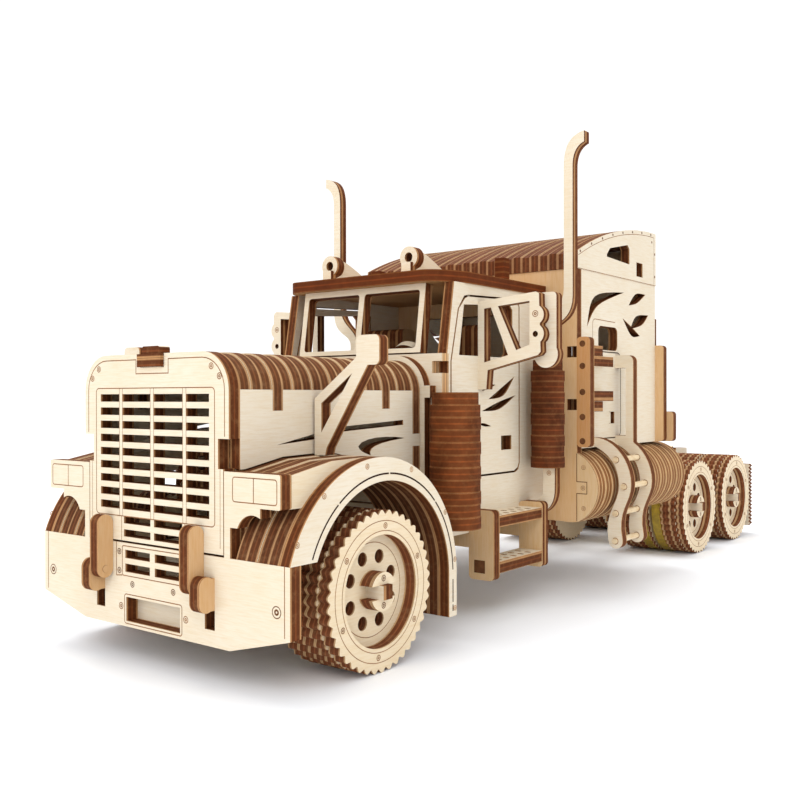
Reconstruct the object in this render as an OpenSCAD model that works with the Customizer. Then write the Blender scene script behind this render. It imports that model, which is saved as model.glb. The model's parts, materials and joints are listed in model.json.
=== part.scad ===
// Laser-cut plywood model kit of a long-nosed sleeper tractor.
// Every piece is cut from one thickness of sheet and stacked or slotted together.
// Origin: floor level, on the centre plane, under the front face of the bumper.
// The truck faces -Y, +X is its left side, and Z = 0 is the floor.

/* [Sheet] */
// Thickness of the plywood sheet
sheet = 4; // [3.9:0.1:4]
// Diameter of the loose wooden pivot pins
pin_d = 2; // [1.8:0.1:2.2]
// Radial running clearance of a pin or shaft in its bore
run = 0.05; // [0.03:0.01:0.08]

/* [Wheels] */
// Diameter over the tread teeth
wheel_d = 45.4; // [45:0.2:45.8]
// Distance from the bumper face to the front axle
front_axle_y = 37.4; // [37:0.2:37.8]
// Distance from the bumper face to the first rear axle
rear_axle_1_y = 289.5; // [289:0.5:290]
// Distance from the bumper face to the second rear axle
rear_axle_2_y = 343.7; // [343.5:0.1:344]
// Half of the width over the front wheels
front_track = 53; // [52.8:0.1:53.2]
// Half of the width over the rear wheels
rear_track = 51.7; // [51.5:0.1:51.9]

/* [Front end] */
// Half width of the bumper
bumper_hw = 53.9; // [53.5:0.1:54]
// Height of the top edge of the bumper
bumper_top = 34.8; // [34.4:0.1:34.9]
// Half width of the hood
hood_hw = 31.8; // [31.6:0.1:31.9]
// Height of the top of the hood
hood_top = 89.3; // [89:0.1:89.6]
// Height of the hood's tilt axis
hood_axis_z = 45; // [45:0.1:45.2]

/* [Cab] */
// Half width of the cab over its side panels
cab_hw = 38; // [37.9:0.1:38]
// Distance from the bumper face to the cab's front wall
cab_y = 88; // [88:0.1:88.2]
// Height of the underside of the roof plate
roof_z = 116; // [115.8:0.1:116.2]

/* [Sleeper] */
// Half width of the sleeper over its side panels
sleeper_hw = 51.8; // [51.6:0.1:51.9]
// Distance from the bumper face to the sleeper's front wall
wall_y = 157.8; // [157.6:0.1:158]
// Distance from the bumper face to the rear edge of the sleeper
sleeper_end = 233.4; // [233:0.2:234]
// Radius of the arched sleeper roof
arch_r = 176; // [175.8:0.1:176.2]

/* [Hidden] */
$fn = 64;
T = sheet;
wheel_r = wheel_d / 2;
side_x = cab_hw - T;
bunk_x = sleeper_hw - T;
arch_y = 232.2;
arch_z = -26.9;
eave_z = 126;
rail_x = 12;
rail_top = 34;
shaft_d = 5;
king_x = 26;
king_d = 3;
arm_pin = [23.5, front_axle_y + 17];
lever_axis = [-2.7, 27];
door_axis = [side_x + T / 2, 106];
muffler_c = [46.6, 144.5];
can_c = [45, 85.5];
tank_c = [46.3, 42.2];
tank_r = 14.3;
tank_x = 40;
deck_z = 57;
wheel_plate_z = 46;
lamp_x = 18.5;
wheel_tilt = 60;
steer_c = [13.5, 103.5, 89.6];
flap_y = 368;
mid_y = (flap_y + T + lever_axis[0] - 2.6) / 2;

// ---- plates: a flat outline cut from the sheet and stood in place ----

// Y is drawn from the bumper's front face, and each part then stands centred on the truck's footprint
module centred() translate([0, -mid_y, 0]) children();
// outline in (y, z), thickness along +X from x0
module plate_x(x0, t = T) translate([x0, 0, 0]) rotate([90, 0, 90]) linear_extrude(t) children();
// outline in (x, z), thickness along +Y from y0
module plate_y(y0, t = T) translate([0, y0 + t, 0]) rotate([90, 0, 0]) linear_extrude(t) children();
// outline in (x, y), thickness along +Z from z0
module plate_z(z0, t = T) translate([0, 0, z0]) linear_extrude(t) children();
// a piece and its twin on the other side
module both() {
    children();
    mirror([1, 0, 0]) children();
}
// rectangle given by two corners
module box2(a, b) translate(a) square(b - a);
// rectangle given by two corners, with round corners
module soft2(a, b, r) {
    box2(a + [r, 0], b - [r, 0]);
    box2(a + [0, r], b - [0, r]);
    for (x = [a[0] + r, b[0] - r]) for (y = [a[1] + r, b[1] - r]) translate([x, y]) circle(r);
}
// bar with round ends between two points
module bar2(a, b, r) {
    d = b - a;
    translate(a) rotate(atan2(d[1], d[0])) translate([0, -r]) square([norm(d), 2 * r]);
    translate(a) circle(r);
    translate(b) circle(r);
}
function cubic(a, b, c, d, n = 12) = [
    for (i = [0:n]) let (t = i / n, s = 1 - t)
        s * s * s * a + 3 * s * s * t * b + 3 * s * t * t * c + t * t * t * d
];
// flame-shaped slot between two tips, with one bulge point for each side
module flame2(a, p, q, b) polygon(concat(cubic(a, p, p, b, 8), cubic(b, q, q, a, 8)));
// rod along X
module rod_x(x0, x1, y, z, d) translate([x0, y, z]) rotate([0, 90, 0]) cylinder(d = d, h = x1 - x0);

// ---- chassis ----

module rail_outline() {
    box2([T, 24], [368, rail_top]);
    box2([268, 14.5], [368, rail_top]);
    polygon([[348, 33], [350.6, 47.8], [367, 47.2], [368, 33]]);
}
module frame_rails() color("burlywood") centred() both() difference() {
    plate_x(rail_x) rail_outline();
    for (y = [rear_axle_1_y, rear_axle_2_y]) rod_x(rail_x - 1, rail_x + T + 1, y, wheel_r, shaft_d + 2 * run);
    for (y = [110:36:250]) rod_x(rail_x - 1, rail_x + T + 1, y, 29, 5);
}
module crossmembers() color("burlywood") centred() {
    for (y = [10, 76, 120, 262, 316.6 - T / 2, 364]) plate_y(y) box2([-rail_x, 25], [rail_x, 33]);
    plate_y(63) difference() {
        box2([-30, 27], [30, 43]);
        for (s = [-1, 1]) translate([s * (rail_x + T / 2), 30]) square([T, 2 * T], center = true);
    }
    for (y = [196, 226]) plate_y(y - T) box2([-tank_x, rail_top], [tank_x, deck_z]);
}
module front_axle_beam() color("burlywood") centred() difference() {
    plate_y(front_axle_y - T, 2 * T) {
        box2([-20, 12.7], [20, 24]);
        box2([-31, 12.7], [31, 16.3]);
        for (s = [-1, 1]) scale([s, 1]) {
            box2([17, 12.7], [20.5, 32.7]);
            box2([17, 29.1], [31, 32.7]);
        }
    }
    both() translate([king_x, front_axle_y, 0]) cylinder(d = king_d + 2 * run, h = 60);
}
module fifth_wheel() color("wheat") centred() {
    plate_z(wheel_plate_z) difference() {
        translate([0, 316]) circle(26);
        translate([0, 322]) circle(4.5);
        polygon([[-3, 322], [3, 322], [14, 345], [-14, 345]]);
    }
    both() plate_x(rail_x) polygon([
        [300, rail_top], [334, rail_top], [328, wheel_plate_z], [306, wheel_plate_z]
    ]);
}
module mudflaps() color("wheat") centred() both() plate_y(flap_y) {
    box2([rail_x, 4.7], [50.8, 39]);
    for (z = [6:2:38]) translate([50.8, z]) rotate(45) square(1.4, center = true);
}

// ---- bumper and levers ----

module bumper() color("moccasin") centred() difference() {
    plate_y(0) difference() {
        polygon([
            [-bumper_hw, 16.3], [-32, 10.6], [32, 10.6], [bumper_hw, 16.3],
            [bumper_hw, bumper_top], [-bumper_hw, bumper_top]
        ]);
        for (z = [26.4, 30.4]) for (s = [-1, 1]) scale([s, 1]) box2([1.1, z], [12.4, z + 2.4]);
        box2([-12, 12.2], [12, 19.2]);
        for (s = [-1, 1]) scale([s, 1]) box2([22.2, 15], [26.2, 29]);
    }
}
module number_plate() color("wheat") centred() plate_y(T) box2([-rail_x, 10.8], [rail_x, 21]);
module lever_brackets() color("tan") centred() both() {
    plate_x(22.2) {
        bar2([lever_axis[0], 22.7], lever_axis, 2.6);
        box2([-2.7, 20.4], [T, 29]);
    }
    rod_x(18, 22.4, lever_axis[0], lever_axis[1], pin_d);
}
module lever() color("tan") centred() plate_x(18.1, T - 0.1) difference() {
    bar2(lever_axis, lever_axis + [0, 13.2], 2.6);
    translate(lever_axis) circle(d = pin_d + 2 * run);
}

// ---- lamps, fenders and their mirrors ----

module headlamps() color("moccasin") centred() both() difference() {
    plate_y(0) {
        box2([29.9, bumper_top], [32.2, 57.5]);
        soft2([32, 48.6], [50.6, 57.5], 0.6);
        difference() {
            box2([32, 42.9], [43.4, 48.7]);
            translate([40.6, 40.6]) circle(6.1);
            box2([38, 40], [44, 46]);
        }
    }
    rod_x(29, 35, T / 2, hood_axis_z, pin_d + 2 * run);
}
module fender_outline(grow = 0) difference() {
    union() {
        translate([35.6, 22.8]) circle(37.5 + grow);
        box2([60, 9.6], [73.1 + grow, 22.8]);
    }
    translate([38.3, 22.8]) circle(30.8);
    box2([-10, -20], [69.1, 22.8]);
    box2([-10, -20], [30, bumper_top]);
    box2([-10, -20], [80, 9.6]);
}
// upper front corner of a fender rib, behind the lamp
module fender_nose(grow = 0) difference() {
    polygon([[T, 48.5], [T, 57 + grow], [20, 59.9 + grow], [35.6, 60.3 + grow], [35.6, 48.5]]);
    translate([38.3, 22.8]) circle(30.8);
}
module fenders() color("peru") centred() both() for (i = [0:4]) plate_x(30 + i * T, T) difference() {
    union() {
        fender_outline(i % 2 == 0 ? 0 : -0.35);
        fender_nose(i % 2 == 0 ? 0 : -0.35);
    }
    box2([-5, i == 0 ? 30 : 43], [T, 70]);
}
module fender_trims() color("ivory") centred() both() plate_x(50, bumper_hw - 50) fender_outline();
module fender_mirrors() color("moccasin") centred() both() plate_y(32) difference() {
    union() {
        polygon([
            [32.6, 60.3], [32.6, 76.5], [48.6, 88.2], [52.4, 85.9], [37.2, 62.5], [36.6, 60.3]
        ]);
        soft2([48.3, 85.8], [56.5, 94.1], 1.6);
    }
    polygon([[35.2, 66.8], [35.2, 75.2], [46.8, 83.6]]);
}

// ---- engine ----

module engine_block() color("peru") centred() {
    plate_x(-10, 20) {
        box2([22, rail_top], [63, 50]);
        box2([26, 50], [62, 58]);
    }
    for (y = [30:7:58]) translate([0, y, 57.9]) cylinder(d = 5.5, h = 6);
    plate_y(18) translate([0, 50]) difference() {
        circle(12);
        for (a = [0:45:315]) rotate(a) translate([7.5, 0]) circle(2.2);
    }
    translate([0, 22.1, 50]) rotate([90, 0, 0]) cylinder(d = 5, h = 0.2);
}

// ---- hood: it tilts forward as one unit ----

module hood_outline(grow = 0, top = hood_top) {
    hw = hood_hw + grow;
    r = 10.5 + grow;
    box2([-hw + r, 60], [hw - r, top + grow]);
    box2([-hw, 60], [hw, top + grow - r]);
    for (s = [-1, 1]) translate([s * (hw - r), top + grow - r]) circle(r);
}
grille_x = [-24.8, -14.3, 0, 14, 24.8];
module grille() color("moccasin") centred() difference() {
    grille_plate();
    both() rod_x(26, 30, T / 2, hood_axis_z, pin_d);
}
module grille_plate() plate_y(0) difference() {
    union() {
        intersection() {
            hood_outline();
            box2([-40, 66], [40, 100]);
        }
        box2([-27.6, 57.9], [27.6, 66.1]);
        box2([-29.6, 35.4], [29.6, 58]);
    }
    for (row = [0:8]) for (i = [0:3])
        box2([grille_x[i] + 0.7, 75.7 - 3.9 * row], [grille_x[i + 1] - 0.7, 77.9 - 3.9 * row]);
    for (row = [0:1]) for (s = [-1, 1]) scale([s, 1]) box2([0.8, 40.4 - 3.8 * row], [13, 42.5 - 3.8 * row]);
    box2([-5.3, 85.4], [5.3, 95]);
}
// ribs 4 and 16 reach down into notches of the side plates, the last one down to their foot
module hood_ribs() color("peru") centred() for (k = [1:20]) plate_y(k * T) {
    difference() {
        intersection() {
            hood_outline(k % 2 == 0 ? 0 : -0.35);
            box2([-40, 79], [40, 100]);
        }
        hood_outline(-5);
    }
    for (s = [-1, 1]) scale([s, 1]) {
        if (k == 4 || k == 16) box2([hood_hw - T, 73.2], [hood_hw, 79.1]);
        if (k == 20) difference() {
            box2([25.8, 50], [hood_hw, 79.1]);
            box2([hood_hw - T, 60.8], [hood_hw + 1, 64.8]);
        }
    }
}
module hood_side_outline() difference() {
    union() {
        box2([T, 57.8], [80, 79]);
        box2([58, 50], [80, 70]);
        box2([79, 60.8], [84, 64.8]);
    }
    translate([35.6, 22.8]) circle(37.5 + 0.5);
    fender_nose(0.5);
    for (k = [4, 16]) box2([k * T, 73.2], [(k + 1) * T, 80]);
    polygon([[17.5, 63.7], [32.7, 66.3], [45, 68.1], [75, 69.5], [75, 67.9], [45, 66.6], [32.7, 64.7]]);
    polygon(concat(
        cubic([75.9, 63.6], [66, 65], [54, 64.5], [52.4, 61.9], 6),
        cubic([52.4, 61.9], [52.4, 60.5], [56, 59.5], [58.4, 58.8], 4),
        cubic([58.4, 58.8], [57, 61], [60, 62.6], [75.9, 63.6], 6)
    ));
}
module hood_sides() color("ivory") centred() both() plate_x(hood_hw - T) hood_side_outline();
module hood_ornament() color("saddlebrown") centred() {
    plate_y(-1.2, 5.2) box2([-5.2, 85.5], [5.2, 89.2]);
    translate([0, 0, 89.1]) plate_y(-0.4, 3.6) soft2([-4, -0.4], [4, 2.3], 0.9);
}
module hood_pins() color("tan") centred() both() rod_x(26, 34.5, T / 2, hood_axis_z, pin_d);

// ---- cab ----

module cab_front_wall() color("burlywood") centred() plate_y(cab_y) difference() {
    box2([-cab_hw, 30], [cab_hw, 91.5]);
    box2([-rail_x - T, 20], [rail_x + T, rail_top]);
    for (s = [-1, 1]) scale([s, 1]) box2([side_x, 84.9], [cab_hw + 1, 88.9]);
}
module cowl_arch() color("wheat") centred() plate_y(84.5, cab_y - 84.5) difference() {
    union() {
        hood_outline(1.6);
        for (s = [-1, 1]) scale([s, 1]) box2([27.8, 46], [33.4, 61]);
        for (s = [-1, 1]) scale([s, 1]) box2([31, 76.7], [35.6, 80.7]);
    }
    hood_outline(-9);
    box2([-27.8, 40], [27.8, 72]);
}
module windscreen_frame() color("wheat") centred() translate([0, 89.2, 91.5]) rotate([-8.2, 0, 0]) plate_y(0) difference() {
    box2([-28.1, 0.6], [28.1, 24.7]);
    for (s = [-1, 1]) scale([s, 1]) soft2([1.2, 2.2], [25.9, 22.5], 1.2);
}
module floors() color("burlywood") centred() {
    plate_z(rail_top) box2([-side_x, cab_y + T], [side_x, wall_y]);
    plate_z(deck_z) box2([-bunk_x, wall_y + T], [bunk_x, sleeper_end - T]);
}
// outline of the doorway, drawn in by g on every side
module doorway(g) polygon([
    [93 + g, 48.9 + g], [93 + g, 89], [97.5 + g, 107], [101.4 + g, 111.6 - g], [104, 112.2 - g],
    [135, 113.4 - g], [137.5 - g, 112.6 - g], [138.6 - g, 110.5],
    [138.6 - g, 52.4], [137.6 - g, 49.9 + g], [135.1 - g, 48.9 + g]
]);
module cab_sides() color("ivory") centred() both() difference() {
    plate_x(side_x) difference() {
        polygon([[92, 30], [92, 91.5], [91.2, 91.5], [95.4, roof_z], [wall_y, roof_z], [wall_y, 30]]);
        doorway(0);
    }
    plate_x(side_x) box2([84.5, 84.9], [92, 88.9]);
    translate([door_axis[0], door_axis[1], 45]) cylinder(d = pin_d + 2 * run, h = 70.5);
}
module cab_roof() color("wheat") centred() {
    plate_z(roof_z) polygon(concat(
        [[-cab_hw - 0.6, 157.7]], cubic([-cab_hw - 0.6, 103], [-36.2, 94], [-33, 88.6], [-28.5, 88.6]),
        cubic([28.5, 88.6], [33, 88.6], [36.2, 94], [cab_hw + 0.6, 103]), [[cab_hw + 0.6, 157.7]]
    ));
    both() plate_x(28.2) box2([137, roof_z + T - 0.1], [141, 129.4]);
}
module roof_lamps() color("wheat") centred() both() {
    plate_y(95.6, T) translate([lamp_x, 125.9]) difference() {
        circle(3.8);
        circle(1.7);
        box2([-2, -5], [2, -1.9]);
    }
    plate_x(lamp_x - T / 2) {
        box2([94, roof_z + T], [99.6, 124]);
        polygon(concat([[99.6, roof_z + T]], cubic([99.6, 128.4], [106, 127.4], [112, 123], [122, roof_z + T])));
    }
}
// place children on the steering column's axis
module column() translate(steer_c) rotate([-wheel_tilt, 0, 0]) children();
module dashboard() color("peru") centred() difference() {
    union() {
        plate_x(-22, 44) polygon([[cab_y + T, 70], [101, 70], [98, 82.5], [cab_y + T, 86]]);
        column() translate([0, 0, -10.5]) cylinder(d = 6.6, h = 5.5);
    }
    column() translate([0, 0, -10]) cylinder(d = king_d + 2 * run, h = 8);
}
module steering_wheel() color("peru") centred() column() {
    translate([0, 0, -1.5]) {
        difference() {
            cylinder(r = 7.6, h = 3);
            translate([0, 0, -1]) cylinder(r = 5.8, h = 5);
        }
        cylinder(r = 2.4, h = 3);
        for (a = [90, 210, 330]) rotate(a) translate([2, -1, 0]) cube([4.4, 2, 3]);
    }
    translate([0, 0, -9.5]) cylinder(d = king_d, h = 9);
}
module seats() color("peru") centred() both() {
    plate_x(9, 18) {
        soft2([112, 40], [132, 62], 2);
        soft2([128, 58], [136, 104], 2);
        box2([114, rail_top + T], [130, 42]);
    }
}

// ---- sleeper ----

module sleeper_front_wall() color("burlywood") centred() plate_y(wall_y) difference() {
    box2([-sleeper_hw, 29], [sleeper_hw, eave_z]);
    box2([-rail_x - T, 20], [rail_x + T, rail_top]);
    soft2([-24, 62], [24, 110], 3);
    for (z = [71.8, 92]) for (s = [-1, 1]) scale([s, 1]) box2([bunk_x - 0.1, z], [sleeper_hw + 1, z + 4.2]);
}
module sleeper_sides() color("ivory") centred() both() plate_x(bunk_x) difference() {
    box2([wall_y + T, 57], [sleeper_end, eave_z]);
    soft2([176.4, 95.6], [194.2, 105.2], 2.5);
    box2([186.1, 66], [191.2, 70.8]);
    flame2([166.5, 104], [170, 118], [174, 113.5], [201, 120.4]);
    flame2([205.3, 115.3], [214, 116.5], [212, 121.5], [223, 121.3]);
    flame2([199.3, 109.6], [211, 105.5], [208, 101.5], [217, 103]);
    flame2([207, 105.5], [212, 112], [220, 107.5], [226, 112.5]);
}
module arch2(r) translate([arch_y, arch_z]) circle(r, $fn = 180);
module gable_outline() difference() {
    intersection() {
        arch2(arch_r);
        box2([158.5, eave_z], [sleeper_end + 0.4, 160]);
    }
    polygon([[184, 134.4], [187, 137.2], [204, 140.6], [205.8, 139], [205.8, 132.6], [184, 133.4]]);
    box2([213, 128.4], [219.4, 134.4]);
}
module sleeper_gables() color("ivory") centred() both() plate_x(12 * T) gable_outline();
module sleeper_roof() color("peru") centred() for (i = [-12:11]) plate_x(i * T) intersection() {
    difference() {
        arch2(arch_r - (i % 2 == 0 ? 0.1 : 0.5));
        arch2(arch_r - 6.2);
    }
    box2([wall_y - 0.6, eave_z + 0.05], [sleeper_end, 160]);
}
module sleeper_rear_wall() color("burlywood") centred() plate_y(sleeper_end - T) difference() {
    union() {
        box2([-bunk_x, deck_z], [bunk_x, 142.4]);
        box2([-tank_x, 46], [tank_x, 58]);
    }
    soft2([-20, 96], [20, 118], 4);
}
module corner_strips() color("tan") centred() both() plate_y(wall_y) soft2([sleeper_hw, 57.7], [57.2, 99.7], 1.6);
module side_brackets() color("sienna") centred() both() {
    for (z = [92.6, 71.2]) plate_z(z, 3.9) box2([sleeper_hw, wall_y + T], [57, 169.6]);
    for (z = [88.6, 75.2]) plate_z(z, 3.9) box2([sleeper_hw, wall_y + T], [57, 179]);
}
module rear_fairings() color("tan") centred() both() {
    plate_y(sleeper_end) {
        soft2([44, 57], [55.6, 99.6], 1.5);
        box2([46, 95], [50.8, 111.6]);
    }
    plate_y(sleeper_end + T) soft2([46, 57], [58.4, 70.2], 1.5);
}

// ---- side equipment ----

module exhaust_stacks() color("moccasin") centred() both() plate_y(muffler_c[1] - T / 2) polygon(concat(
    [[44.7, 90.6]], cubic([44.7, 99], [45, 107], [54.4, 107], [54.4, 117]),
    cubic([54.4, 161], [54.4, 169], [57, 172.2], [62.6, 173.2]),
    cubic([62.6, 169.2], [59.6, 168.2], [58, 165.5], [58, 161]),
    cubic([58, 114], [58, 103], [48.5, 105], [48.5, 99]), [[48.5, 90.6]]
));
// stack of n discs, every second one a little smaller and the top one smallest
module disc_stack(c, r, z0, n) for (i = [0:n - 1]) translate([c[0], c[1], z0 + i * T])
    cylinder(r = r - (i == n - 1 ? 0.8 : i % 2 == 0 ? 0 : 0.2), h = T);
module mufflers() color("sienna") centred() both() disc_stack(muffler_c, 6.3, 50.6, 10);
module exhaust_elbows() color("moccasin") centred() both() plate_y(muffler_c[1] - T / 2) polygon(concat(
    [[45.8, 50.6], [45.8, 44.5]], cubic([45.8, 42], [45.8, 39.5], [43.4, 37.2], [38, 37]),
    cubic([38, 32.6], [46.5, 32.2], [50.6, 36], [50.6, 43]), [[50.6, 50.6]]
));
module air_canisters() color("sienna") centred() both() difference() {
    disc_stack(can_c, 8.4, 34.4, 11);
    translate([0, 60, 20]) cube([cab_hw, 60, 80]);
}
module step_boxes() color("burlywood") centred() both() {
    for (y = [104, 138]) plate_y(y) {
        soft2([cab_hw, 14.3], [48, 38.2], 1.6);
        box2([rail_x + T, 25], [cab_hw + 1, 29.8]);
    }
    for (z = [16.4, 32.2]) plate_z(z) difference() {
        box2([cab_hw, 108], [47.6, 138]);
        for (y = [112:5:135]) for (x = [40, 44]) translate([x, y]) bar2([0.6, 0], [1.6, 0], 0.8);
    }
}
module tank_outline(x0, grow = 0) intersection() {
    translate(tank_c) circle(tank_r + grow);
    box2([x0, 20], [70, 60]);
}
module fuel_tanks() color("peru") centred() both() {
    plate_y(wall_y) tank_outline(sleeper_hw);
    for (i = [0:27]) plate_y(wall_y + T + 3 * i, 3) tank_outline(40, i % 2 == 0 ? -0.2 : 0);
}
module ladder_rail() difference() {
    polygon(concat(
        [[sleeper_hw, 57.2], [sleeper_hw, 60.8]],
        cubic([53.4, 60.8], [61, 60], [67.5, 52], [67.5, 43], 10),
        cubic([67.5, 43], [67.5, 36], [61.4, 33], [64, 21.4], 8),
        cubic([58.2, 20.6], [56, 32], [62.6, 35], [62.6, 42.5], 8),
        cubic([62.6, 42.5], [62.6, 50], [58.5, 54.5], [53, 57.2], 8)
    ));
    translate(tank_c) circle(tank_r + 0.1);
}
module ladders() color("wheat") centred() both() difference() {
    union() {
        for (y = [172, 192]) plate_y(y) {
            ladder_rail();
            translate([61.1, 20.9]) circle(2.9);
        }
        plate_y(192) difference() {
            union() {
                box2([sleeper_hw, 57.2], [57, 93.8]);
                box2([56, 57.2], [59.6, 91.2]);
                translate([57, 91.2]) circle(2.6);
            }
            box2([sleeper_hw - 1, 61], [56.4, 88.6]);
        }
    }
    for (p = rungs) translate([p[0], 171, p[1]]) rotate([-90, 0, 0]) cylinder(d = 2.2, h = 26);
}
rungs = [[61.3, 52.4], [64.6, 42.2], [61.2, 31.6], [61, 20.9]];
module ladder_rungs() color("moccasin") centred() both() for (p = rungs)
    translate([p[0], 171, p[1]]) rotate([-90, 0, 0]) cylinder(d = 2.2, h = 26);

// ---- doors and door mirrors ----

module door() color("ivory") centred() {
    plate_x(side_x) difference() {
        doorway(0.7);
        polygon([[98.2, 91.2], [101.2, 108.6], [131.6, 110.6], [133.4, 109], [133.4, 93], [131.6, 91.2]]);
        box2([125.4, 57.6], [132.6, 62.8]);
        flame2([116.8, 76.1], [126.5, 80.6], [127.5, 76.5], [134.7, 84.4]);
        flame2([112.4, 79], [116, 81.4], [117, 79.6], [121.6, 81.3]);
        flame2([112.4, 71.9], [124, 75.3], [124, 71.7], [135.6, 77.5]);
        flame2([110, 67.5], [114, 67.8], [114, 66.3], [118.8, 66.4]);
    }
    translate([door_axis[0], door_axis[1], 45.5]) cylinder(d = pin_d, h = 6);
    translate([door_axis[0], door_axis[1], 110]) cylinder(d = pin_d, h = 5.2);
}
module door_mirror() color("moccasin") centred() {
    plate_y(110) difference() {
        union() {
            polygon([
                [cab_hw, 79.5], [cab_hw, 110.2], [61, 112.2], [62.2, 111.6], [62.8, 92], [61.8, 90.9],
                [42, 86.2], [41.4, 79.5]
            ]);
            for (z = [98, 104.4]) translate([60.6, z]) circle(3.4);
        }
        polygon([[40.6, 88.9], [40.6, 107.6], [43.3, 107.9], [50.2, 91.2]]);
        polygon([[46.2, 108.2], [58.6, 109.2], [58.6, 94.5], [53.4, 92.8]]);
        translate([60.8, 98]) circle(1);
    }
    plate_y(110 + T) {
        soft2([59.4, 90], [66.6, 112.2], 1.4);
        translate([62.6, 91.2]) circle(4.5);
    }
}

// ---- front wheels and steering ----

module knuckle() color("burlywood") centred() {
    difference() {
        translate([king_x - 4, front_axle_y - 4, 16.6]) cube([8, 8, 12.2]);
        translate([king_x, front_axle_y, 0]) cylinder(d = king_d, h = 60);
    }
    translate([king_x, front_axle_y, 12.7]) cylinder(d = king_d, h = 20);
    rod_x(king_x + 4, front_track - 6.3, front_axle_y, wheel_r, shaft_d);
    plate_z(18.8, 2.8) bar2([king_x - 1, front_axle_y + 6], arm_pin, 2.6);
    plate_z(18.8, 2.8) box2([king_x - 3.6, front_axle_y + 3.9], [king_x + 1.4, front_axle_y + 7]);
    translate([arm_pin[0], arm_pin[1], 14.9]) cylinder(d = 2.2, h = 4);
}
module wheel_disc(x0, x1) difference() {
    rod_x(x0, x1, 0, 0, 31.6);
    for (a = [22.5:45:360]) rod_x(x0 - 1, x1 + 1, 9.7 * cos(a), 9.7 * sin(a), 4);
}
// two half-moons with the square end of the axle between them
module wheel_hub(track) {
    difference() {
        rod_x(track - 5, track + 0.6, 0, 0, 11);
        translate([track - 4, -8, -1.95]) cube([6, 16, 3.9]);
    }
    translate([track - 5, -2, -2]) cube([7.2, 4, 4]);
}
module front_wheel() color("peru") centred() translate([0, front_axle_y, wheel_r]) difference() {
    union() {
        difference() {
            rod_x(front_track - 20, front_track, 0, 0, wheel_d);
            rod_x(front_track - 21, front_track + 1, 0, 0, 31.6);
        }
        wheel_disc(front_track - 16, front_track - 4);
        wheel_hub(front_track);
    }
    rod_x(0, front_track - 6, 0, 0, shaft_d + 2 * run);
}
module tie_rod() color("burlywood") centred() plate_z(15, 3.2) difference() {
    bar2([-arm_pin[0], arm_pin[1]], arm_pin, 3.6);
    for (s = [-1, 1]) translate([s * arm_pin[0], arm_pin[1]]) bar2([0, -1.5], [0, 0.4], 1.32);
}

// ---- rear wheels ----

module rear_wheel_pair() both() {
    difference() {
        union() {
            rod_x(rear_track - 16, rear_track, 0, 0, wheel_d);
            rod_x(rail_x + T + 1.6, rear_track - 17.2, 0, 0, wheel_d);
        }
        rod_x(rear_track - 4, rear_track + 1, 0, 0, 31.6);
        for (a = [22.5:45:360]) rod_x(rear_track - 8, rear_track, 9.7 * cos(a), 9.7 * sin(a), 4);
        rod_x(0, rear_track - 6, 0, 0, shaft_d);
    }
    wheel_hub(rear_track - 0.2);
}
// two bands to a side: one on each tyre of the pair
module band_groove(grow) both() for (x = [29, 36.2]) difference() {
    rod_x(x - grow, x + 4 + grow, 0, 0, wheel_d + 2 * grow);
    rod_x(x - 1, x + 5, 0, 0, wheel_d - 2.4);
}
module rear_wheels_1() color("peru") centred() translate([0, rear_axle_1_y, wheel_r]) difference() {
    rear_wheel_pair();
    band_groove(0.02);
}
module rear_wheels_2() color("peru") centred() translate([0, rear_axle_2_y, wheel_r]) rear_wheel_pair();
module traction_bands() color("olive") centred() translate([0, rear_axle_1_y, wheel_r]) band_groove(0);
module rear_shaft(y) color("tan") centred() rod_x(6 - rear_track, rear_track - 6, y, wheel_r, shaft_d);

frame_rails();
crossmembers();
bumper();
number_plate();
lever_brackets();
headlamps();
fenders();
fender_trims();
fender_mirrors();
engine_block();
front_axle_beam();
cab_front_wall();
cowl_arch();
windscreen_frame();
floors();
cab_sides();
cab_roof();
roof_lamps();
dashboard();
seats();
sleeper_front_wall();
sleeper_sides();
sleeper_gables();
sleeper_roof();
sleeper_rear_wall();
corner_strips();
side_brackets();
rear_fairings();
exhaust_stacks();
mufflers();
exhaust_elbows();
air_canisters();
step_boxes();
fuel_tanks();
ladders();
ladder_rungs();
fifth_wheel();
mudflaps();
grille();
hood_ribs();
hood_sides();
hood_ornament();
hood_pins();
door();  // door_left
mirror([1, 0, 0]) door();  // door_right
door_mirror();  // door_mirror_left
mirror([1, 0, 0]) door_mirror();  // door_mirror_right
lever();  // lever_left
mirror([1, 0, 0]) lever();  // lever_right
knuckle();  // knuckle_left
mirror([1, 0, 0]) knuckle();  // knuckle_right
front_wheel();  // front_wheel_left
mirror([1, 0, 0]) front_wheel();  // front_wheel_right
tie_rod();
steering_wheel();
rear_wheels_1();
rear_shaft(rear_axle_1_y);  // rear_shaft_1
rear_wheels_2();
rear_shaft(rear_axle_2_y);  // rear_shaft_2
traction_bands();
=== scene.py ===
import bpy
import bmesh
import json
import math
from mathutils import Matrix, Vector


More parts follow.
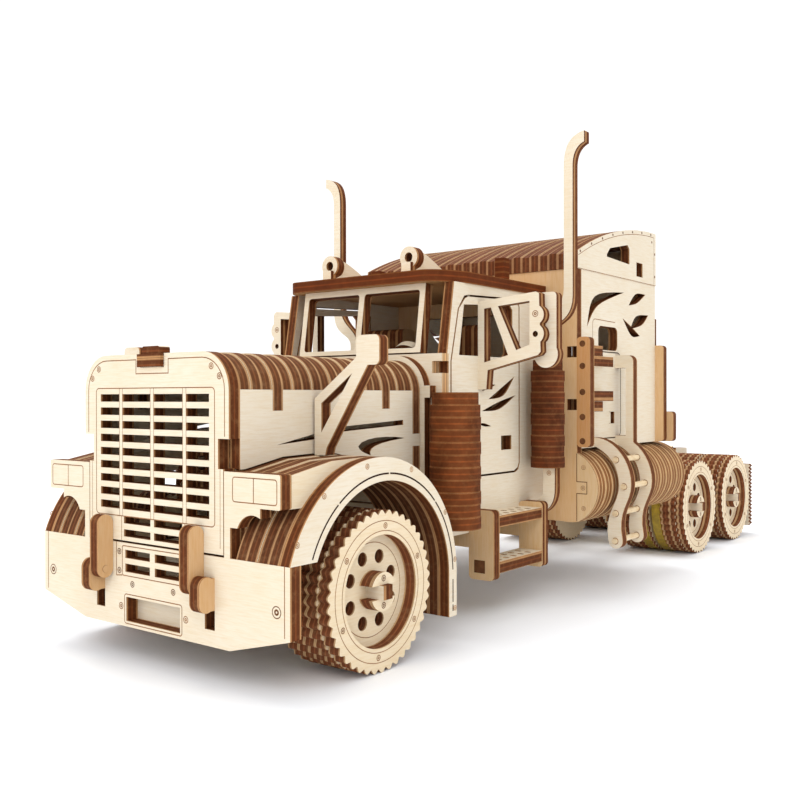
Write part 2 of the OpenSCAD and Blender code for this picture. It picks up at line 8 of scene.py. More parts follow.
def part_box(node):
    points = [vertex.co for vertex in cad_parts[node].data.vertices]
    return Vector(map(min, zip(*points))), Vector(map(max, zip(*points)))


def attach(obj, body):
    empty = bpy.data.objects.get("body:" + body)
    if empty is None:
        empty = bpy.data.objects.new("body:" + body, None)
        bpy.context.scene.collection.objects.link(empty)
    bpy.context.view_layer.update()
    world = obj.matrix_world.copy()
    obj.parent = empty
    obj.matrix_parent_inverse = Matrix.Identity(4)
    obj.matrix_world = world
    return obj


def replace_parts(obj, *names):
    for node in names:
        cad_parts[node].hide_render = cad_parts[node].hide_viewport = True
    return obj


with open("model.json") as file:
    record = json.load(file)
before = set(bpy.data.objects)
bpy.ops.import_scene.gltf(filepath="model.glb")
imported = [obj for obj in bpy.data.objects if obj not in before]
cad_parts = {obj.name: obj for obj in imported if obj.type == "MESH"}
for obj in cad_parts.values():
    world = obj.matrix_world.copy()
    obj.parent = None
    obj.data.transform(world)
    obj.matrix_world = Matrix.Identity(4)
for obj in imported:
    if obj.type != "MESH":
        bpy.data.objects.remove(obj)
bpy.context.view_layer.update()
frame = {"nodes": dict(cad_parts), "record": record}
nodes = frame["nodes"]
body_of = {n: b for b, ns in frame["record"]["behaviour"]["bodies"].items() for n in ns}

# Positions of plates and lines are in mm, as in the CAD source, with Y counted from the bumper's front face.
MM = 0.001
T = 4.0                              # one sheet of plywood
MID = -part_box("bumper")[0].y / MM    # how far behind the bumper's front face the frame's origin lies
AX = {"x": (1.0, 0.0, 0.0), "y": (0.0, 1.0, 0.0), "z": (0.0, 0.0, 1.0)}


# ---------------------------------------------------------------- materials
class Tree:
    """A material's node tree, with one short method per kind of node; each returns the node's output."""

    def __init__(self, name):
        self.mat = bpy.data.materials.new(name)
        self.mat.use_nodes = True
        self.t = self.mat.node_tree
        self.t.nodes.clear()
        out = self.t.nodes.new("ShaderNodeOutputMaterial")
        self.bsdf = self.t.nodes.new("ShaderNodeBsdfPrincipled")
        self.t.links.new(self.bsdf.outputs[0], out.inputs[0])

    def plug(self, socket, value):
        if isinstance(value, bpy.types.NodeSocket):
            self.t.links.new(value, socket)
        else:
            socket.default_value = value

    def shine(self, rough, specular=None):
        self.plug(self.bsdf.inputs["Roughness"], rough)
        if specular is not None:
            self.plug(self.bsdf.inputs["Specular IOR Level"], specular)

    def math(self, op, a, b=0.0):
        n = self.t.nodes.new("ShaderNodeMath")
        n.operation = op
        self.plug(n.inputs[0], a)
        self.plug(n.inputs[1], b)
        return n.outputs[0]

    def times(self, a, b):
        return self.math("MULTIPLY", a, b)

    def vec(self, op, a, b):
        n = self.t.nodes.new("ShaderNodeVectorMath")
        n.operation = op
        self.plug(n.inputs[0], a)
        self.plug(n.inputs[1], b)
        return n.outputs[1] if op == "DOT_PRODUCT" else n.outputs[0]

    def coord(self, which):
        return self.t.nodes.new("ShaderNodeTexCoord").outputs[which]

    def noise(self, vector, scale, detail, rough, dist=0.0):
        n = self.t.nodes.new("ShaderNodeTexNoise")
        self.plug(n.inputs["Vector"], vector)
        n.inputs["Scale"].default_value = scale
        n.inputs["Detail"].default_value = detail
        n.inputs["Roughness"].default_value = rough
        n.inputs["Distortion"].default_value = dist
        return n.outputs[0]

    def ramp(self, fac, stops):
        n = self.t.nodes.new("ShaderNodeValToRGB")
        e = n.color_ramp.elements
        while len(e) < len(stops):
            e.new(1.0)
        for k, (position, color) in enumerate(stops):
            e[k].position = position
            e[k].color = (*color, 1.0)
        self.plug(n.inputs[0], fac)
        return n.outputs[0]

    def range(self, v, a, b, c=0.0, d=1.0):
        n = self.t.nodes.new("ShaderNodeMapRange")
        self.plug(n.inputs["Value"], v)
        n.inputs["From Min"].default_value = a
        n.inputs["From Max"].default_value = b
        n.inputs["To Min"].default_value = c
        n.inputs["To Max"].default_value = d
        return n.outputs[0]

    def mix(self, fac, a, b):
        n = self.t.nodes.new("ShaderNodeMix")
        n.data_type = "RGBA"
        self.plug(n.inputs[0], fac)
        self.plug(n.inputs[6], (*a, 1.0) if isinstance(a, tuple) else a)
        self.plug(n.inputs[7], (*b, 1.0) if isinstance(b, tuple) else b)
        return n.outputs[2]

    def bump(self, height, strength, distance):
        n = self.t.nodes.new("ShaderNodeBump")
        n.inputs["Strength"].default_value = strength
        n.inputs["Distance"].default_value = distance
        self.plug(n.inputs["Height"], height)
        self.plug(self.bsdf.inputs["Normal"], n.outputs[0])


def srgb(r, g, b):
    def lin(v):
        v /= 255.0
        return v / 12.92 if v <= 0.04045 else ((v + 0.055) / 1.055) ** 2.4
    return (lin(r), lin(g), lin(b))


def shifted(color, *steps):
    return srgb(*(min(255, v + d) for v, d in zip(color, steps)))


def scaled(color, k):
    return srgb(*(min(255, k * v) for v in color))


FACE = (222, 209, 186)    # colours are 0-255 sRGB; this is a clean plywood face
# SIDE is the same plywood face a little darker: painted shade on the plates that face sideways
SIDE = (217, 205, 184)
PALE = (186, 138, 92)     # the outer plies on a cut edge
DARK = (92, 50, 26)       # the scorched core of a cut edge
FIBRE_LENGTH = 14.0       # a wood fibre's length over its width


def ply(name, axis, origin=0.0, grain="x", face=FACE, pitch=T, pale=PALE, dark=DARK, rim=0.12, burn=0.35):
    """Birch plywood: pale grained faces across axis, and scorched edges with paler outer plies along it.

    A plate starts at origin and every pitch from there. rim is the share of a plate that each outer ply
    takes up, and burn is how much soot lies on the edge.
    """
    m = Tree(name)
    p = m.coord("Object")
    n = m.coord("Normal")
    on_axis = m.math("ABSOLUTE", m.vec("DOT_PRODUCT", n, AX[axis]))
    edge = m.range(on_axis, 0.80, 0.60)
    # face: fine fibres along the grain, broad warm patches
    stretch = tuple(1.0 if a == grain else FIBRE_LENGTH for a in AX)
    fib = m.noise(m.vec("MULTIPLY", p, stretch), 150.0, 4.0, 0.65)
    fine = m.noise(m.vec("MULTIPLY", p, tuple(3.0 * s for s in stretch)), 160.0, 2.0, 0.7)
    patch = m.noise(p, 26.0, 3.0, 0.6, 0.4)
    col = m.mix(m.range(patch, 0.35, 0.7), srgb(*face), shifted(face, 5, 7, 10))
    col = m.mix(m.times(m.range(fib, 0.42, 0.75), 0.75), col, shifted(face, -6, -14, -26))
    col = m.mix(m.times(m.range(fine, 0.62, 0.8), 0.35), col, shifted(face, -22, -42, -68))
    # edge: outer plies pale, core scorched, and soot streaks along the cut
    along = m.vec("DOT_PRODUCT", p, AX[axis])
    if axis == "x":
        along = m.math("ABSOLUTE", along)    # the truck's two sides are alike
    start = origin - (MID if axis == "y" else 0.0)
    t = m.math("FRACT", m.math("DIVIDE", m.math("SUBTRACT", along, start * MM), pitch * MM))
    soot_and_slit_shade = m.noise(p, 120.0, 4.0, 0.7)
    streak = m.noise(p, 420.0, 3.0, 0.7)
    outer, core, heart, seam = srgb(*pale), srgb(*dark), scaled(dark, 1.28), scaled(pale, 0.6)
    plies = m.ramp(t, [(0.0, seam), (0.035, outer), (0.7 * rim, outer), (rim + 0.06, core), (0.42, core),
                       (0.46, heart), (0.54, heart), (0.58, core), (0.94 - rim, core),
                       (1.0 - 0.7 * rim, outer), (0.965, outer), (1.0, seam)])
    burnt = m.mix(m.times(m.range(soot_and_slit_shade, 0.35, 0.75), burn), plies, scaled(dark, 0.55))
    burnt = m.mix(m.times(m.range(streak, 0.5, 0.8), 0.35), burnt, scaled(pale, 0.8))
    m.plug(m.bsdf.inputs["Base Color"], m.mix(edge, col, burnt))
    m.shine(m.range(edge, 0.0, 1.0, 0.62, 0.7), m.range(edge, 0.0, 1.0, 0.2, 0.06))
    m.bump(m.mix(edge, m.mix(0.5, fib, fine), m.mix(0.5, streak, t)), 0.35, 0.00012)
    return m.mat


def scorch(name, color):
    """Wood burnt by the laser."""
    m = Tree(name)
    k = m.noise(m.coord("Object"), 300.0, 3.0, 0.7)
    m.plug(m.bsdf.inputs["Base Color"], m.mix(m.range(k, 0.3, 0.75), srgb(*color), scaled(color, 1.45)))
    m.shine(0.7, 0.08)
    return m.mat


def stick_wood():
    m = Tree("stick_wood")
    k = m.noise(m.vec("MULTIPLY", m.coord("Object"), (1.0, 1.0, 6.0)), 220.0, 3.0, 0.7)
    m.plug(m.bsdf.inputs["Base Color"],
           m.mix(m.range(k, 0.35, 0.75), srgb(228, 210, 176), srgb(204, 172, 126)))
    m.shine(0.5)
    m.bump(k, 0.2, 0.0001)
    return m.mat


def olive_rubber():
    m = Tree("olive_rubber")
    k = m.noise(m.coord("Object"), 500.0, 3.0, 0.6)
    m.plug(m.bsdf.inputs["Base Color"], m.mix(m.range(k, 0.3, 0.8), srgb(122, 98, 10), srgb(176, 146, 30)))
    m.shine(0.45)
    m.bump(k, 0.3, 0.0001)
    return m.mat


MAT = {
    "x": ply("ply_side", "x", 0.0, "y", SIDE),
    "y": ply("ply_front", "y", 0.0, "x"),
    "z": ply("ply_flat", "z", 0.0, "x"),
    "x2": ply("ply_side_b", "x", 2.0, "y", SIDE),
    "light": ply("ply_light_edge", "y", 0.0, "x", FACE,
                 pale=(206, 176, 138), dark=(176, 140, 100), rim=0.2, burn=0.1),
    "rib_y": ply("ply_ribs_y", "y", 0.0, "x", (216, 196, 164),
                 pale=(188, 146, 104), dark=(98, 60, 36), rim=0.13),
    "rib_x": ply("ply_ribs_x", "x", 30.0, "y", (220, 204, 176),
                 pale=(186, 142, 100), dark=(92, 54, 32), rim=0.12),
    # the cab roof's darker brown face colour is painted shade, as under its ceiling inside the cab; its edge
    # colours are scorched plies
    "flat_dark": ply("ply_flat_dark_painted_shade", "z", 0.0, "x", (176, 134, 88),
                     pale=(140, 84, 44), dark=(98, 48, 22), rim=0.05, burn=0.5),
    "roof": ply("ply_roof", "x", 0.0, "y", (196, 166, 130),
                pale=(184, 138, 98), dark=(98, 56, 34), rim=0.09),
    # the tank ends' tan face colour is painted shade, as they face forward in the shade of other parts; the
    # edge colours are scorched plies
    "tank": ply("ply_tank", "y", 161.8, "z", (214, 184, 142), pitch=3.0,
                pale=(204, 164, 118), dark=(122, 80, 48), rim=0.2),
    "disc": ply("ply_discs", "z", 34.4, "x", (178, 128, 86),
                pale=(168, 110, 66), dark=(112, 60, 30), rim=0.04, burn=0.85),
    "disc_b": ply("ply_discs_b", "z", 50.6, "x", (170, 120, 80),
                  pale=(150, 98, 60), dark=(96, 50, 26), rim=0.04, burn=0.85),
    # painted shade: these tan faces are the plywood face darkened and warmed for pieces in shade: the
    # dashboard and seats, the sleeper's front wall and rear fairings, the step boxes, the levers and the
    # corner strips
    "shade": ply("ply_shade", "x", 0.0, "y", (168, 134, 94)),
    "tan": ply("ply_tan", "y", 1.8, "z", (210, 174, 130)),
    "step": ply("ply_step", "y", 0.0, "z", (204, 172, 130)),
    "lever": ply("ply_lever", "x", 2.0, "z", (200, 162, 118)),
    "strip": ply("ply_strip", "y", 1.8, "z", (196, 146, 96)),
    "line": scorch("engraved_line", (84, 54, 34)),
    "soft_line": scorch("engraved_line_light", (112, 78, 52)),
    # a near-black line for an open slit or gap: painted shadow in the gap
    "soot_and_slit_shade": scorch("open_slit_painted_shadow", (40, 22, 14)),
    "faint": scorch("faint_mark", (140, 108, 78)),
    "stick": stick_wood(),
    "band": olive_rubber(),
    "tyre": ply("ply_tyre", "x", 33.0, "y", (220, 202, 172),
                pale=(206, 168, 124), dark=(112, 66, 42), rim=0.1),
}
USED_BY = {
    "x": "frame_rails engine_block sleeper_sides sleeper_gables hood_sides front_wheel_left "
         "front_wheel_right rear_wheels_1 rear_wheels_2",
    "y": "crossmembers bumper number_plate headlamps fender_mirrors front_axle_beam cowl_arch "
         "windscreen_frame roof_lamps sleeper_rear_wall exhaust_stacks exhaust_elbows ladders mudflaps "
         "grille door_mirror_left door_mirror_right",
    "z": "floors side_brackets fifth_wheel hood_ornament knuckle_left knuckle_right tie_rod steering_wheel",
    "x2": "fender_trims cab_sides door_left door_right",
    "light": "cab_front_wall", "rib_y": "hood_ribs", "rib_x": "fenders", "flat_dark": "cab_roof",
    "roof": "sleeper_roof", "tank": "fuel_tanks", "disc": "air_canisters", "disc_b": "mufflers",
    "shade": "dashboard seats", "tan": "sleeper_front_wall rear_fairings", "step": "step_boxes",
    "lever": "lever_brackets lever_left lever_right", "strip": "corner_strips",
    "stick": "ladder_rungs hood_pins rear_shaft_1 rear_shaft_2", "band": "traction_bands",
}
material_of = {node: MAT[kind] for kind, names in USED_BY.items() for node in names.split()}
for n, o in nodes.items():
    o.data.materials.clear()
    o.data.materials.append(material_of[n])
    for poly in o.data.polygons:
        poly.material_index = 0


def repaint(node, mat, test):
    """Give mat to the faces of a CAD node whose points, in mm from the bumper, pass test."""
    me = nodes[node].data
    me.materials.append(mat)
    for poly in me.polygons:
        if test([me.vertices[i].co / MM + Vector((0.0, MID, 0.0)) for i in poly.vertices]):
            poly.material_index = len(me.materials) - 1


def within(values, lo, hi, slack=0.05):
    return min(values) > lo - slack and max(values) < hi + slack


# the step treads lie flat between their upright plates, and each roof lamp has a fin standing along the roof
for tread_z in (16.4, 32.2):
    repaint("step_boxes", MAT["z"], lambda pts: within([p.z for p in pts], tread_z, tread_z + T))
LAMP_FINS_Y = 100.0
repaint("roof_lamps", MAT["x2"], lambda pts: max(p.y for p in pts) > LAMP_FINS_Y)


# ---------------------------------------------------------------- sheet pieces and engraved lines
def place(axis, c, u, v):
    """Point, in the frame's metres, at c along axis and at u, v across it, in mm from the bumper."""
    x, y, z = {"x": (c, u, v), "y": (u, c, v), "z": (u, v, c)}[axis]
    return x * MM, y * MM - MID * MM, z * MM


def finish_mesh(name, verts, faces, body, mat, slot="plywood", smooth=None):
    """A visible piece that rides on body, shaded smooth where its faces meet at less than smooth degrees."""
    me = bpy.data.meshes.new(name)
    me.from_pydata(verts, [], faces)
    me.materials.append(mat)
    bm = bmesh.new()
    bm.from_mesh(me)
    bmesh.ops.remove_doubles(bm, verts=bm.verts, dist=1e-7)
    bmesh.ops.recalc_face_normals(bm, faces=bm.faces)
    bm.to_mesh(me)
    bm.free()
    o = bpy.data.objects.new(name, me)
    bpy.context.scene.collection.objects.link(o)
    if smooth:
        me.shade_smooth()
        me.set_sharp_from_angle(angle=math.radians(smooth))
    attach(o, body)
    return o


def sheet_geometry(loops, axis, c0, c1):
    """Vertices and faces of a plate from c0 to c1: the first loop is its outline, the others are holes."""
    cu = bpy.data.curves.new("cut", "CURVE")
    cu.dimensions = "2D"
    cu.fill_mode = "BOTH"
    cu.extrude = 0.5
    for loop in loops:
        sp = cu.splines.new("POLY")
        sp.points.add(len(loop) - 1)
        for q, (u, v) in zip(sp.points, loop):
            q.co = (u, v, 0.0, 1.0)
        sp.use_cyclic_u = True
    tmp = bpy.data.objects.new("cut", cu)
    me = bpy.data.meshes.new_from_object(tmp)
    w = c1 - c0
    verts = [place(axis, c0 + (v.co.z + 0.5) * w, v.co.x, v.co.y) for v in me.vertices]
    faces = [tuple(p.vertices) for p in me.polygons]
    bpy.data.objects.remove(tmp)
    bpy.data.curves.remove(cu)
    bpy.data.meshes.remove(me)
    return verts, faces


def gather(parts):
    verts, faces = [], []
    for vs, fs in parts:
        k = len(verts)
        verts += vs
        faces += [tuple(i + k for i in f) for f in fs]
    return verts, faces


def arc(cx, cy, r, a0, a1, n):
    return [(cx + r * math.cos(math.radians(a0 + (a1 - a0) * i / n)),
             cy + r * math.sin(math.radians(a0 + (a1 - a0) * i / n))) for i in range(n + 1)]


def ring(cx, cy, r, n=72):
    return arc(cx, cy, r, 0, 360, n)[:-1]


def rounded(u0, v0, u1, v1, r, n=5):
    return (arc(u1 - r, v0 + r, r, -90, 0, n) + arc(u1 - r, v1 - r, r, 0, 90, n)
            + arc(u0 + r, v1 - r, r, 90, 180, n) + arc(u0 + r, v0 + r, r, 180, 270, n))


def ribbon(points, width, closed):
    """Flat line of even width along points: its pairs of edge points, and the pairs that each quad joins."""
    pts = [p for i, p in enumerate(points) if i == 0 or math.dist(p, points[i - 1]) > 1e-6]
    n = len(pts)
    pairs = []
    for i in range(n):
        a = pts[i - 1] if (closed or i) else pts[i]
        b = pts[(i + 1) % n] if (closed or i < n - 1) else pts[i]
        d0 = (pts[i][0] - a[0], pts[i][1] - a[1])
        d1 = (b[0] - pts[i][0], b[1] - pts[i][1])
        l0, l1 = math.hypot(*d0) or 1.0, math.hypot(*d1) or 1.0
        t = (d0[0] / l0 + d1[0] / l1, d0[1] / l0 + d1[1] / l1)
        lt = math.hypot(*t) or 1.0
        nx, ny = -t[1] / lt, t[0] / lt
        m0 = (-d0[1] / l0, d0[0] / l0) if math.hypot(*d0) > 1e-9 else (-d1[1] / l1, d1[0] / l1)
        k = 0.5 * width / max(0.35, abs(nx * m0[0] + ny * m0[1]))
        pairs.append(((pts[i][0] + nx * k, pts[i][1] + ny * k), (pts[i][0] - nx * k, pts[i][1] - ny * k)))
    quads = [(i, (i + 1) % n) for i in range(n if closed else n - 1)]
    return pairs, quads


def engrave(name, body, axis, c, lines, mat, mirror=False, width=0.28):
    """Burnt lines on a face at c along axis. Each line is (points, closed) or (points, closed, width)."""
    verts, faces = [], []
    for pts, closed, *own_width in lines:
        pairs, quads = ribbon(pts, *(own_width or [width]), closed)
        k = len(verts)
        for a, b in pairs:
            for u, v in (a, b):
                x, y, z = place(axis, c, u, v)
                verts.append((-x if mirror else x, y, z))
        faces += [(k + 2 * i, k + 2 * j, k + 2 * j + 1, k + 2 * i + 1) for i, j in quads]
    return finish_mesh(name, verts, faces, body, mat)


def rivets(spots, r):
    """Two burnt rings at each spot: a rivet head's edge and its middle."""
    return [line for u, v in spots
            for line in ((ring(u, v, r, 20), True, 0.26), (ring(u, v, r * 0.38, 12), True, r * 0.34))]


def gear(cx, cy, tip, root, count, phase, steps=10):
    """Outline of a toothed plate, with rounded tips and rounded roots."""
    pts = []
    for k in range(count):
        for f in range(steps):
            a = 2 * math.pi * (k + f / steps + phase) / count
            h = 0.5 - 0.5 * math.cos(2 * math.pi * f / steps)
            r = root + (tip - root) * h ** 0.75
            pts.append((cx + r * math.cos(a), cy + r * math.sin(a)))
    return pts


# ---------------------------------------------------------------- wheels, toothed plate by toothed plate
TEETH = 42
TOOTH_TIP, TOOTH_ROOT = 22.72, 21.5
BAND_SEAT = 21.45                  # radius of a plain plate, under a rubber band
RIM_BORE = 15.8                    # the outermost plate is a ring around the dished face
DISC_HOLES = (8, 9.7, 2.0)         # how many, how far out, their radius
HUB_RADIUS, HUB_HALF_GAP = 5.45, 1.95
AXLE_BAR = 2.0                     # half the side of the square bar in the hub's gap
SMOOTH_BELOW = 28                  # degrees between a tooth's faces that are shaded smooth
PROUD = 0.02                       # how far burnt lines lie above the face they are on
BOTH = (-1, 1)


def around(cy, cz, radius, angles):
    return [(cy + radius * math.cos(math.radians(a)), cz + radius * math.sin(math.radians(a)))
            for a in angles]


def disc_holes(cy, cz):
    count, out, r = DISC_HOLES
    return [ring(y, z, r, 20) for y, z in around(cy, cz, out, [22.5 + 360 * k / count for k in range(count)])]


def moons(cy, cz, r, half_gap, n=18):
    """Two half discs with a gap between them, which are the hub cap."""
    a = math.degrees(math.asin(half_gap / r))
    return arc(cy, cz, r, a, 180 - a, n), arc(cy, cz, r, 180 + a, 360 - a, n)


def flip(parts, s):
    return [([(x * s, y, z) for x, y, z in vs], fs) for vs, fs in parts]


def tooth_ring(cy, cz, last):
    """Tread outline of a wheel plate: the outermost plate's teeth stand between those of all the others."""
    return gear(cy, cz, TOOTH_TIP, TOOTH_ROOT, TEETH, 0.0 if last else 0.5)


def wheel(name, cad, s, cy, cz, plates, cap, bar, marks_at):
    """A wheel of laminated plates on side s, in place of the node cad.

    plates are (x0, x1, whether it is a ring, whether it is plain under a band). cap and bar are the hub cap's
    and the axle bar's x0 and x1, and marks_at the x of the faces of the rim, the disc and the cap.
    """
    body = body_of[cad]
    parts = []
    for k, (x0, x1, is_ring, plain) in enumerate(plates):
        outer = ring(cy, cz, BAND_SEAT, 96) if plain else tooth_ring(cy, cz, k == len(plates) - 1)
        inner = [ring(cy, cz, RIM_BORE, 96)] if is_ring else disc_holes(cy, cz)
        parts.append(sheet_geometry([outer, *inner], "x", x0, x1))
    parts += [sheet_geometry([moon], "x", *cap) for moon in moons(cy, cz, HUB_RADIUS, HUB_HALF_GAP)]
    tyre = finish_mesh(name, *gather(flip(parts, s)), body, MAT["tyre"], "plywood_edge", SMOOTH_BELOW)
    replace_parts(tyre, cad)
    square = [(cy + u * AXLE_BAR, cz + v * AXLE_BAR) for u, v in ((-1, -1), (1, -1), (1, 1), (-1, 1))]
    axle = gather(flip([sheet_geometry([square], "x", *bar)], s))
    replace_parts(finish_mesh(name + "_axle_bar", *axle, body, MAT["y"]), cad)
    rim_x, disc_x, cap_x = (x + PROUD for x in marks_at)
    rim = [(ring(cy, cz, r, 96), True, 0.22) for r in (19.7, 16.9)]
    rim += rivets(around(cy, cz, 18.3, (25, 85, 145, 205, 265, 325)), 0.75)
    engrave(name + "_marks", body, "x", rim_x, rim, MAT["soft_line"], s < 0)
    engrave(name + "_disc_marks", body, "x", disc_x, [(ring(cy, cz, 13.3, 80), True, 0.22)],
            MAT["soft_line"], s < 0)
    engrave(name + "_hub_marks", body, "x", cap_x, rivets([(cy, cz + 3.8), (cy, cz - 3.8)], 0.8),
            MAT["line"], s < 0)


def centre(cad):
    """Y and Z of a wheel's axle, in mm."""
    lo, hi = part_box(cad)
    return (lo.y + hi.y) / 2 / MM + MID, (lo.z + hi.z) / 2 / MM


for side, s in (("left", 1), ("right", -1)):
    cad = f"front_wheel_{side}"
    wheel(cad + "_plates", cad, s, *centre(cad),
          [(33.0, 37.0, True, False), (37.0, 41.0, False, False), (41.0, 45.0, False, False),
           (45.0, 49.0, False, False), (49.0, 53.0, True, False)],
          (48.0, 53.6), (48.0, 55.2), (53.0, 49.0, 53.6))

# rear duals: an outer wheel with a dished face, and an inner wheel; on the first axle some plates are plain,
# for the rubber bands
for cad, banded in (("rear_wheels_1", True), ("rear_wheels_2", False)):
    cy, cz = centre(cad)
    for side, s in (("left", 1), ("right", -1)):
        wheel(f"{cad}_{side}_outer", cad, s, cy, cz,
              [(35.7, 40.2, False, banded), (40.2, 43.7, False, False), (43.7, 47.7, False, False),
               (47.7, 51.7, True, False)],
              (46.5, 52.1), (46.5, 53.7), (51.7, 47.7, 52.1))
        parts = []
        for x0, x1 in ((17.6, 21.4), (21.4, 25.2), (25.2, 29.0), (29.0, 33.0), (33.0, 34.5)):
            plain = banded and x0 == 29.0
            outline = ring(cy, cz, BAND_SEAT, 96) if plain else tooth_ring(cy, cz, x0 == 33.0)
            parts.append(sheet_geometry([outline], "x", x0, x1))
        inner = finish_mesh(f"{cad}_{side}_inner_plates", *gather(flip(parts, s)), body_of[cad],
                            MAT["tyre"], "plywood_edge", SMOOTH_BELOW)
        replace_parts(inner, cad)


# ---------------------------------------------------------------- engraving, on the faces it is cut into
def front_marks(name, lines, mat, body="chassis", face=0.0):
    """Lines on a face that looks forward, at face mm behind the bumper's front."""
    engrave(name, body, "y", face - PROUD, lines, MAT[mat])


def upright(u, v0, v1, *width):
    return ([(u, v0), (u, v1)], False, *width)


# grille: its outline, its inner frame, both edges of its three uprights, and the marks beside it
GRILLE_FOOT, GRILLE_HEAD = 42.5, 79.6
grille_top = (arc(-21.3, 78.8, 8.9, 180, 90, 8) + [(-7.2, 87.7), (-7.2, 83.7), (7.2, 83.7), (7.2, 87.7)]
              + arc(21.3, 78.8, 8.9, 90, 0, 8))
lines = [([(-30.2, 66.6), *grille_top, (30.2, 66.6)], False),
         (rounded(-26.3, GRILLE_FOOT, 26.3, GRILLE_HEAD, 1.2), True)]
for u in (-14.3, 0.0, 14.0):
    lines += [upright(u + d, GRILLE_FOOT, GRILLE_HEAD, 0.16) for d in (-0.72, 0.72)]
lines += [upright(s * 14.1, GRILLE_FOOT, 35.5, 0.22) for s in BOTH]
lines += [upright(s * 28.4, 58.0, 37.0, 0.16) for s in BOTH]
front_marks("grille_marks", lines, "soft_line", "hood")
corners = [(s * u, v) for s in BOTH for u, v in ((25.0, 85.3), (28.2, 82.6))]
front_marks("grille_rivets", rivets(corners, 0.8), "soft_line", "hood")

# bumper: the joints of its plates, the panel over the number plate, and the number plate's frame
lines = [upright(s * 52.0, 16.9, 34.8) for s in BOTH]
lines += [upright(s * 16.6, 34.8, 25.0) for s in BOTH]
lines += [(rounded(-13.8, 25.3, 13.8, 33.9, 0.6), True), (rounded(-12.8, 11.5, 12.8, 20.0, 0.8), True)]
lines += [([(s * 13.8, 25.3), (s * 16.6, 25.0)], False) for s in BOTH]
front_marks("bumper_marks", lines, "soft_line")
spots = [(s * u, v) for s in BOTH for u, v in ((9.1, 23.1), (15.2, 32.1), (15.2, 26.6))]
front_marks("bumper_rivets", rivets(spots, 0.8) + rivets([(s * 49.2, 23.1) for s in BOTH], 1.5), "line")
front_marks("bumper_spots", rivets([(s * 14.4, 16.3) for s in BOTH], 0.9), "soft_line")

# where the faces lie: outward faces in mm from the middle, forward faces in mm behind the bumper's front
FENDER_FACE, SLEEPER_FACE, GABLE_FACE, DOOR_FACE = 53.9, 51.8, 52.0, 36.0
STEP_FACE, MIRROR_FACE, ELBOW_FACE, STRIP_FACE, TANK_FACE = 104.0, 110.0, 142.5, 157.8, 157.79
LADDER_FACES = (172.0, 192.0)
# the gable's arch: its centre, and the radii of the line and of the row of rivets that follow it
ROOF_Y, ROOF_Z, ROOF_BAND, ROOF_RIVETS = 232.2, -26.9, 174.2, 175.1


def arch(radius, ys):
    return [(y, ROOF_Z + math.sqrt(radius ** 2 - (y - ROOF_Y) ** 2)) for y in ys]


def side_marks(name, face, lines, mat, s, body="chassis"):
    """Lines on a face that looks outwards on side s, at face mm from the middle."""
    engrave(name, body, "x", face + PROUD, lines, MAT[mat], s < 0)


def opening_block(name, y0, z0, y1, z1, x0, x1, s, body):
    """A small block that fills part of a square opening in a door or in the sleeper's side."""
    block = sheet_geometry([[(y0, z0), (y1, z0), (y1, z1), (y0, z1)]], "x", x0, x1)
    finish_mesh(name, *gather(flip([block], s)), body, MAT["x"])


